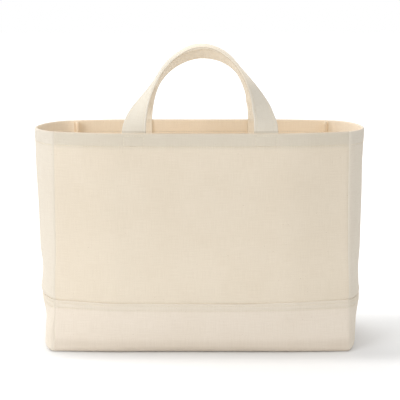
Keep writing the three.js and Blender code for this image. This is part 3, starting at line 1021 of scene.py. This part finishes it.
def strapPath(handle):
    # The strap's inner edge and its directions, from the right foot to the left. In the handle's own plane
    # the loop is an arch x = inner * cos^(2 / roofness), z = rise * sin^(2 / squareness), and its top stands
    # a little to the right. The strap turns about the inner edge from facing out at the feet to facing up at
    # the top. The feet stand straight in the hem, and between the two the plane bends over the rim.
    inwards = -handle["way"]
    angle = np.linspace(0, pi, 3001)
    x = handle["inner"] * np.sign(np.cos(angle)) * np.abs(np.cos(angle)) ** (2 / handle["roofness"])
    high = np.clip(np.sin(angle), 0, 1) ** (2 / handle["squareness"])
    x, z = x + handle["shift"] * high ** 2, handle["rise"] * high
    run = runLength(np.stack([x, z], -1))
    even = evenly(0, run[-1], strap["step"])
    x, z = np.interp(even, run, x), np.interp(even, run, z)
    foot = evenly(strap["sewnLow"] - basket["rimHeight"], 0, strap["step"])[:-1]
    bend = np.linspace(0, 1, 8)[:-1] if handle["lean"] else np.zeros(0)
    before = len(foot) + len(bend)
    lean = np.concatenate([0 * foot, bend, 1 + 0 * even, bend[::-1], 0 * foot])
    fromFoot = withFeet(np.minimum(even, even[-1] - even), before, 0, 0)
    alongX, alongZ = withFeet(np.gradient(x), before, 0, 0), withFeet(np.gradient(z), before, 1, -1)
    alongX[[before, -before - 1]] = 0
    x = withFeet(x, before, x[0], x[-1])
    z = np.concatenate([foot, 0 * bend, z, 0 * bend, foot[::-1]])
    size = np.hypot(alongX, alongZ)
    alongX, alongZ = alongX / size, alongZ / size
    twistLength = np.where(x < handle["shift"], *handle["twistLengths"])
    twist = radians(handle["twist"]) * np.sin(pi / 2 * np.clip(fromFoot / twistLength, 0, 1))
    sine, cosine = np.sin(twist), np.cos(twist)
    across = np.stack([alongZ * cosine, inwards * sine, -alongX * cosine], -1)
    face = np.stack([alongZ * sine, -inwards * cosine, -alongX * sine], -1)
    point = np.stack([x, inwards * strap["offset"] + 0 * x, z], -1)
    tilt = radians(handle["lean"]) * lean * inwards
    point, across, face = (turnedAboutX(vectors, tilt) for vectors in (point, across, face))
    return point + [0, handle["way"] * strap["hinge"], basket["rimHeight"]], across, face


def strapSection():
    # The strap's section: rounded edges, a groove at each row of thread and a slight crown between the rows
    across, off = roundedSection(strap["width"], strap["thickness"], strap["edgeRadius"], strap["faceStep"])
    inset, half = strap["threadInset"], strap["width"] / 2
    dent = groove(across - inset) + groove(across - strap["width"] + inset)
    crown = strap["crown"] * np.clip(1 - ((across - half) / (half - inset)) ** 2, 0, 1)
    flat = smoothStep(strap["faceStart"], strap["thickness"] / 2, np.abs(off))
    return across, off + np.sign(off) * (crown - strap["dentShare"] * dent) * flat


def strapShift(handle, path, across):
    # Soft waves along the strap and the folds above its right foot, and at its sewn ends the lift of the
    # panel that it is sewn to
    run = runLength(path)[None, :]
    long, wide = strap["waveLengths"]
    slanted = run + strap["waveSlant"] * across
    wave = softNoise(slanted / long + 3.3, across / wide + 1.1, handle["seed"]) * strap["waves"]
    above = run - (basket["rimHeight"] - strap["sewnLow"])
    for height, slope, size, width in strap["folds"]:
        wave = wave + size * bell(above - height - slope * across, width)
    at = path[:, 0] / basket["rimPlan"][2]
    lift = wallLift(panelAt(handle["way"]), at, np.full(len(path), strap["panelHeight"]))[0]
    sewn = smoothStep(basket["rimHeight"] + strap["sewnEase"], basket["rimHeight"], path[:, 2])
    return wave * (1 - sewn), lift * sewn * handle["way"]


# What the straps' material reads: where painted light and painted shade lie on them. Heights are above the
# rim, and a smooth mark goes from 0 to 1 between two.
strapMarks = {
    "innerFace": 0.7, "innerPlaces": (0.4, -0.4), "underRim": 0.9, "underRimHeights": (-0.5, -3),
    "footShade": 0.22, "footHeights": (48, 0), "footStart": (-1, 0.5),
    "footLine": 0.9, "footLineHeight": 1.2, "footLineWidth": 1.1,
    "edgeInset": 0.2, "edgeWidths": (0.65, 1.45), "edgeHeights": (12, 30),
    "rightPlaces": (-45, 5), "topHeights": (52, 85),
}


def markStrap(piece, handle, across, off, rings):
    # The inner face, the outer face on the right of the top and the strap below the rim get painted warm
    # light, which on the top stands in for the light that comes through it. Painted shade lies in a line in
    # the corner of the inner edge and where the strap leaves the rim, and grows towards the foot.
    above = rings[..., 2] - basket["rimHeight"]
    right = smoothStep(*strapMarks["rightPlaces"], rings[..., 0])
    inner = smoothStep(*strapMarks["innerPlaces"], off)[:, None]
    top = handle["topLight"] * right * smoothStep(*strapMarks["topHeights"], above) * (1 - inner)
    under = strapMarks["underRim"] * smoothStep(*strapMarks["underRimHeights"], above)
    markPoints(piece, "inside", np.maximum(inner * strapMarks["innerFace"] + top, under))

    line = strapMarks["footLine"] * bell(above - strapMarks["footLineHeight"], strapMarks["footLineWidth"])
    foot = np.maximum(line, strapMarks["footShade"] * smoothStep(*strapMarks["footHeights"], above))
    foot = foot * smoothStep(*strapMarks["footStart"], above) * (1 - inner)
    inset = strapMarks["edgeInset"]
    corner = np.hypot(across - inset, off + strap["thickness"] / 2 - inset)[:, None]
    onLeft, onRight = strapMarks["edgeWidths"]
    width = onLeft + (onRight - onLeft) * right
    edge = bell(corner, width) * smoothStep(*strapMarks["edgeHeights"], above)
    markPoints(piece, "shade", np.maximum(foot, edge * handle["edgeShadeLine"]))


def strapPiece(name, handle):
    # The section along the path, moved off it by the waves and the panel's lift
    path, acrossWay, faceWay = strapPath(handle)
    across, off = strapSection()
    wave, lift = strapShift(handle, path, across[:, None])
    rings = sweptTube(path, acrossWay, faceWay, across, off) + wave[..., None] * faceWay[None]
    rings[..., 1] += lift[None, :]
    piece = loopShell(name, rings, runLength(path)[None, :], closedLength(across, off))
    markStrap(piece, handle, across, off, rings)
    return piece


def finishedOnHandle(piece, name, material, *nodes):
    # Gives a piece on a handle its material, bakes its place into its points, and hides the nodes that it
    # stands for. The handle's name is not used.
    piece.data.materials.append(material)
    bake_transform(piece)
    if nodes:
        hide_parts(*nodes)


for name, handle in handles.items():
    ends = [name + "_handle_end_" + side for side in ("left", "right")]
    finishedOnHandle(strapPiece(name + "_strap", handle), name, strapWebbing, name + "_handle", *ends)
print("straps made")


# Thread: every stitch is a short capsule lying in its groove. The hem's rows lie on a share of their groove's
# depth, and the band's rows on a share of its swell.

thread = {
    "radius": 0.3, "stitch": 3.2, "gap": 0.5, "rise": 0.12, "sunk": 0.25, "bedded": 0.15,
    "seamGap": 3, "rimGap": 4, "hemShare": 0.5, "bandShares": (0.55, 0.1),
}


def alongLine(line, run, at):
    # The points of a line at some lengths along it
    return np.stack([np.interp(at, run, line[:, i]) for i in range(3)], -1)


def stitchesAlong(line, normals):
    # Starts, ends and upward directions of the stitches that fit on one line
    run = runLength(line)
    pitch = thread["stitch"] + thread["gap"]
    count = max(1, int((run[-1] - thread["stitch"]) / pitch) + 1)
    first = (run[-1] - count * pitch + thread["gap"]) / 2 + pitch * np.arange(count)
    up = unit(alongLine(normals, run, first + thread["stitch"] / 2))
    return alongLine(line, run, first), alongLine(line, run, first + thread["stitch"]), up


def threadPiece(name, rows):
    # Each stitch: four rings of six points, with the end rings smaller and sunk into the cloth, and two quads
    # over each end
    starts, ends, ups = (np.concatenate(part) for part in zip(*(stitchesAlong(*row) for row in rows)))
    count = len(starts)
    aside = unit(np.cross(ups, unit(ends - starts)))
    starts, ends, ups, aside = (vectors[:, None, None, :] for vectors in (starts, ends, ups, aside))
    sunk = thread["sunk"]
    place, size, rise = np.array([[0, 0.2, 0.8, 1], [0.5, 1, 1, 0.5], [-sunk, 0, 0, -sunk]])[..., None, None]
    turn = (2 * pi * np.arange(6) / 6)[:, None]
    centre = starts + (ends - starts) * place + ups * (rise + thread["rise"])
    points = centre + (aside * np.cos(turn) + ups * np.sin(turn)) * (size * thread["radius"])
    points = points.reshape(-1, 3)
    stitch = (np.arange(count) * 24)[:, None, None]
    ring, k = np.arange(3)[None, :, None] * 6, np.arange(6)[None, None, :]
    after = (k + 1) % 6
    quads = np.stack([ring + k, ring + after, ring + 6 + after, ring + 6 + k], -1) + stitch[..., None]
    caps = np.array([[0, 5, 4, 3], [0, 3, 2, 1], [18, 19, 20, 21], [18, 21, 22, 23]]) + stitch
    faceSets = [quads.reshape(-1, 4), caps.reshape(-1, 4)]
    return surfaceMesh(name, points, faceSets, [points[faces][..., [0, 2]] * mm for faces in faceSets])


def clothRow(wall, at, z, depth):
    # A row of thread on the body's cloth, which faces out on its outside and in on its inside
    way = 1 if depth < 1 else -1
    return bodyCloth(wall, at, z, depth), wallNormal(wall, bodyPlan, at, z) * way


def seamToSeam(wall, z):
    # Places along a row round one wall, short of its seams
    low, high = thread["seamGap"], wall["run"][-1] - thread["seamGap"]
    at = np.interp(np.linspace(low, high, 400), wall["run"], wall["at"])
    return at, np.full(len(at), float(z))


def bandRow(wall, down, depth):
    # A row of thread round one wall of the band
    at, z = seamToSeam(wall, basket["bandHeight"] - down)
    radius = bandRadius(wall, at)
    height = (z - radius) / (basket["bandHeight"] - radius)
    return bandCloth(wall, at, height, 0 * at, depth), wallNormal(wall, bodyPlan, at, z)


def footBox(end, hand):
    # The box of thread over one sewn end of a strap, on the outside of the hem and on the strap inside
    inner, outer, low, high = (footThread[edge] for edge in ("inner", "outer", "low", "high"))
    corners = [(inner, low), (outer, low), (outer, high), (inner, high), (inner, low)]
    depths = (footThread["outsideDepth"], cloth["hemThickness"] + strap["thickness"] + footThread["strapGap"])
    t = np.linspace(*footThread["sewnShare"], 30)
    rows = []
    for (x, z), (nextX, nextZ) in zip(corners, corners[1:]):
        at = hand * (x + (nextX - x) * t) / basket["rimPlan"][2]
        rows += [clothRow(panelAt(end), at, z + (nextZ - z) * t, depth) for depth in depths]
    return rows


rows = []
for wall in walls.values():
    at, z = seamToSeam(wall, basket["rimHeight"] - cloth["hemRow"])
    bed = cloth["grooveDepth"] * thread["hemShare"]
    rows += [clothRow(wall, at, z, depth) for depth in (bed, cloth["hemThickness"] - bed)]
for end in (-1, 1):
    for hand in (-1, 1):
        rows += footBox(end, hand)
finished(threadPiece("hem_thread", rows), "bag", "body_canvas", cottonThread)

rows = []
for wall in walls.values():
    for down, share in zip(band["foldRows"], thread["bandShares"]):
        rows.append(bandRow(wall, down, -band["foldSwell"] * share))
finished(threadPiece("band_thread", rows), "bag", "band_canvas", cottonThread)

for name, handle in handles.items():
    path, acrossWay, faceWay = strapPath(handle)
    free = path[:, 2] > basket["rimHeight"] + thread["rimGap"]
    rows = []
    for across in (strap["threadInset"], strap["width"] - strap["threadInset"]):
        wave, lift = strapShift(handle, path, np.full((1, len(path)), float(across)))
        for side in (-1, 1):
            off = side * (strap["thickness"] / 2 - thread["bedded"]) + wave[0]
            line = path + acrossWay * across + faceWay * off[:, None]
            line[:, 1] += lift
            rows.append((line[free], side * faceWay[free]))
    finishedOnHandle(threadPiece(name + "_strap_thread", rows), name, cottonThread)
print("thread made")


# Camera, floor, light

photoCamera = {"place": (0, -1.5, 0.495), "pitch": 11.04, "lens": 95.15, "sensor": 36}

camera = bpy.data.cameras.new("photo_camera")
camera.lens = photoCamera["lens"]
camera.sensor_width = photoCamera["sensor"]
cameraObject = bpy.data.objects.new("photo_camera", camera)
cameraObject.location = photoCamera["place"]
cameraObject.rotation_euler = (radians(90 - photoCamera["pitch"]), 0, 0)
bpy.context.scene.collection.objects.link(cameraObject)
bpy.context.scene.camera = cameraObject

# The floor's glow is given beside the basket, before and behind it, and far from it
studio = {
    "floorHalf": 12.0,
    "floorColour": 0.85,
    "floorGlow": (0.02, 0.25, 0.4),
    "glowBefore": (-0.085, -0.14),
    "glowBehind": (0.05, 0.14),
    "glowFar": (0.3, 1.0),
    "worldLight": 0.775,
    "keyPlace": (-1.2, -1.25, 1.0),
    "keyAim": (0, 0, 0.18),
    "key": {"size": 0.8, "energy": 9.8},
    "topTurn": (radians(-28), radians(-30), 0),
    "top": {"energy": 1.12, "angle": radians(50)},
}
white = (1, 1, 1, 1)


def seenRays(shader):
    # 1 for what the camera sees, also in a gloss or through glass, and 0 for light on the basket
    rays = shader.outputs("ShaderNodeLightPath", {})
    return rays["Is Camera Ray"].larger(rays["Is Glossy Ray"]).larger(rays["Is Transmission Ray"])


def studioFloor():
    # A pale floor. Rays from the camera also meet a glow, faint beside the basket, stronger before and behind
    # it and strongest away from it, which takes the unshadowed floor up to white.
    half = studio["floorHalf"]
    corners = np.array([[-half, -half, 0], [half, -half, 0], [half, half, 0], [-half, half, 0]])
    mesh = bpy.data.meshes.new("studio_floor")
    mesh.from_pydata(corners.tolist(), [], [(0, 1, 2, 3)])
    floor = bpy.data.objects.new("studio_floor", mesh)
    bpy.context.scene.collection.objects.link(floor)
    shader = Shader(bpy.data.materials.new("studio_floor"))
    pale = studio["floorColour"]
    values = {"Base Color": (pale, pale, pale, 1), "Roughness": 1.0, "Specular IOR Level": 0.0}
    surface = shader.node("ShaderNodeBsdfPrincipled", {}, values)
    place = shader.node("ShaderNodeTexCoord", {}, {}, 3)
    away = shader.node("ShaderNodeVectorMath", {"operation": "LENGTH"}, {0: place}, 1)
    y = shader.outputs("ShaderNodeSeparateXYZ", {"Vector": place})["Y"]
    beside, past, far = studio["floorGlow"]
    pastIt = y.between(*studio["glowBefore"]).larger(y.between(*studio["glowBehind"]))
    strength = pastIt * (past - beside) + away.between(*studio["glowFar"]) * (far - past) + beside
    values = {"Color": white, "Strength": seenRays(shader) * strength}
    glow = shader.node("ShaderNodeEmission", {}, values)
    mesh.materials.append(shader.finish(shader.node("ShaderNodeAddShader", {}, {0: surface, 1: glow})))


def studioWorld():
    # White behind everything that the camera sees, and a softer level as light
    world = bpy.data.worlds.new("studio_world")
    bpy.context.scene.world = world
    shader = Shader(world)
    soft, full = (
        shader.node("ShaderNodeBackground", {}, {"Color": white, "Strength": level})
        for level in (studio["worldLight"], 1.0)
    )
    both = shader.node("ShaderNodeMixShader", {}, {0: seenRays(shader), 1: soft, 2: full})
    shader.finish(both, "ShaderNodeOutputWorld")


def addLight(name, kind, settings, place, turn):
    # A light with its settings, in its place
    light = bpy.data.lights.new(name, kind)
    for setting, value in settings.items():
        setattr(light, setting, value)
    lightObject = bpy.data.objects.new(name, light)
    lightObject.location = place
    lightObject.rotation_euler = turn
    bpy.context.scene.collection.objects.link(lightObject)


studioFloor()
studioWorld()
# A square soft lamp that faces the basket, and a wide soft light from above
facing = (Vector(studio["keyAim"]) - Vector(studio["keyPlace"])).to_track_quat("-Z", "Y").to_euler()
addLight("key_lamp", "AREA", studio["key"], studio["keyPlace"], facing)
addLight("top_light", "SUN", studio["top"], (0, 0, 0), studio["topTurn"])
bpy.context.scene.view_settings.view_transform = "Standard"
print("studio made")
